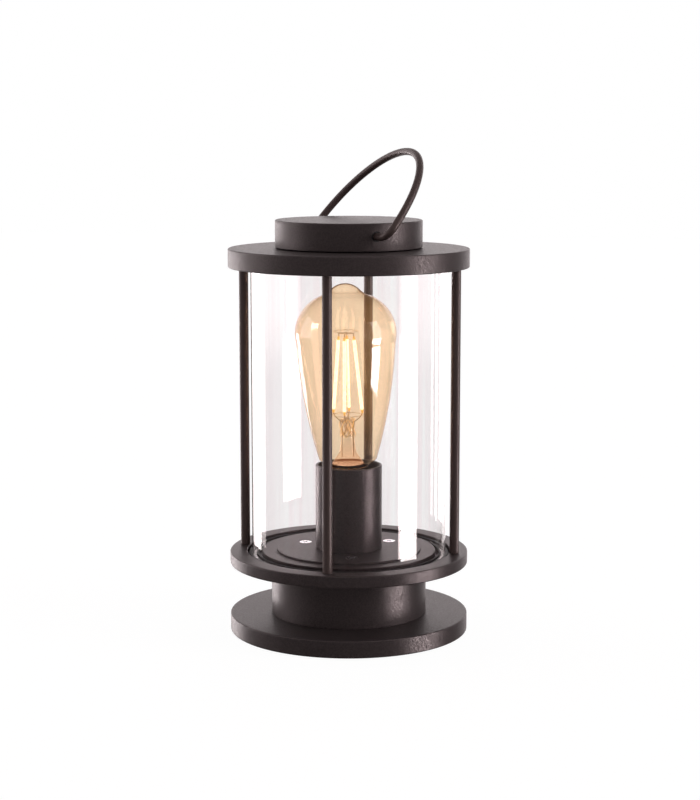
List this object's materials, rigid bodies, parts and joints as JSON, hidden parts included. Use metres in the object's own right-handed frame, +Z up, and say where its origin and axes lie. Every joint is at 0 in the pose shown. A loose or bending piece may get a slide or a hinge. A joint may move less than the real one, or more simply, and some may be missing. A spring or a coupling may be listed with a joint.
{
  "type": "lantern table lamp",
  "caption": "Lantern table lamp with a filament bulb in a glass cylinder, caged by rods between round discs on a drum base, under a bayonet lid with a tilting carrying bail.",
  "frame": {"origin": "centre of the lamp's axis in the plane its feet stand on", "axes": "+Z up along the lamp's axis; the front rod stands on -Y and the cable inlet points along +Y; the other rods stand on +X and -X"},
  "size_m": [0.155, 0.155, 0.3135],
  "materials": {
    "coated_casting": "anthracite fine-texture powder coat on turned aluminium",
    "coated_steel": "anthracite powder coat on steel",
    "zinc_screws": "bright zinc plate",
    "blackened_steel": "black oxide",
    "foot_rubber": "matt black rubber",
    "silicone": "dark grey silicone",
    "cage_glass": "clear drawn glass tube",
    "bulb_glass": "amber tinted blown glass",
    "stem_glass": "clear lamp-worked glass",
    "cap_metal": "bright sheet metal",
    "brass_sheet": "bare brass",
    "solder": "dull tin solder",
    "black_plastic": "matt black moulded plastic",
    "black_glass": "gloss black vitrified insulator",
    "natural_plastic": "natural white moulded plastic",
    "brown_insulation": "brown cable insulation",
    "blue_insulation": "blue cable insulation",
    "board_green": "green solder mask",
    "filament_phosphor": "yellow phosphor coating",
    "wire_metal": "drawn nickel wire"
  },
  "bodies": {
    "lamp": {"base_disc": "coated_casting", "rubber_feet": "foot_rubber", "neck_drum": "coated_casting", "neck_tie_screws": "zinc_screws", "inlet_body": "black_plastic", "inlet_seal": "foot_rubber", "inlet_cap_nut": "black_plastic", "inlet_locknut": "black_plastic", "flange_disc": "coated_casting", "lower_glass_gasket": "silicone", "glass_cylinder": "cage_glass", "upper_glass_gasket": "silicone", "top_disc": "coated_casting", "rod_right": "coated_steel", "rod_back": "coated_steel", "rod_left": "coated_steel", "rod_front": "coated_steel", "rod_screws": "zinc_screws", "holder_plate": "coated_steel", "plate_screws": "zinc_screws", "socket_sleeve": "coated_steel", "lampholder_body": "black_plastic", "holder_screw_shell": "brass_sheet", "holder_centre_contact": "brass_sheet", "holder_nipple": "brass_sheet", "nipple_nut": "zinc_screws", "terminal_block": "natural_plastic", "earth_screw": "zinc_screws", "live_lead": "brown_insulation", "neutral_lead": "blue_insulation"},
    "bulb": {"bulb_envelope": "bulb_glass", "bulb_cap": "cap_metal", "bulb_insulator": "black_glass", "bulb_contact": "solder", "bulb_driver_board": "board_green", "bulb_stem": "stem_glass", "bulb_filaments": "filament_phosphor", "bulb_support_wires": "wire_metal"},
    "lid": {"lid_shell": "coated_casting", "bayonet_ring": "coated_casting", "bayonet_screws": "blackened_steel", "lid_seal": "silicone", "bail_bushes": "black_plastic", "bail_spring_washers": "blackened_steel"},
    "bail": {"bail": "coated_steel", "bail_clips": "blackened_steel"}
  },
  "joints": [
    {"name": "bulb_turn", "type": "hinge", "parent": "lamp", "child": "bulb", "pos_m": [0, 0, 0.0815], "axis": [-0.0171, -0.0033, 0.9998], "range_deg": [0, 900]},
    {"name": "lid_turn", "type": "hinge", "parent": "lamp", "child": "lid", "pos_m": [0, 0, 0.2502], "axis": [0, 0, 1], "range_deg": [0, 45]},
    {"name": "bail_tilt", "type": "hinge", "parent": "lid", "child": "bail", "pos_m": [0, 0, 0.2601], "axis": [-0.5358, 0.8443, 0], "range_deg": [-134.6, 57.4]}
  ]
}
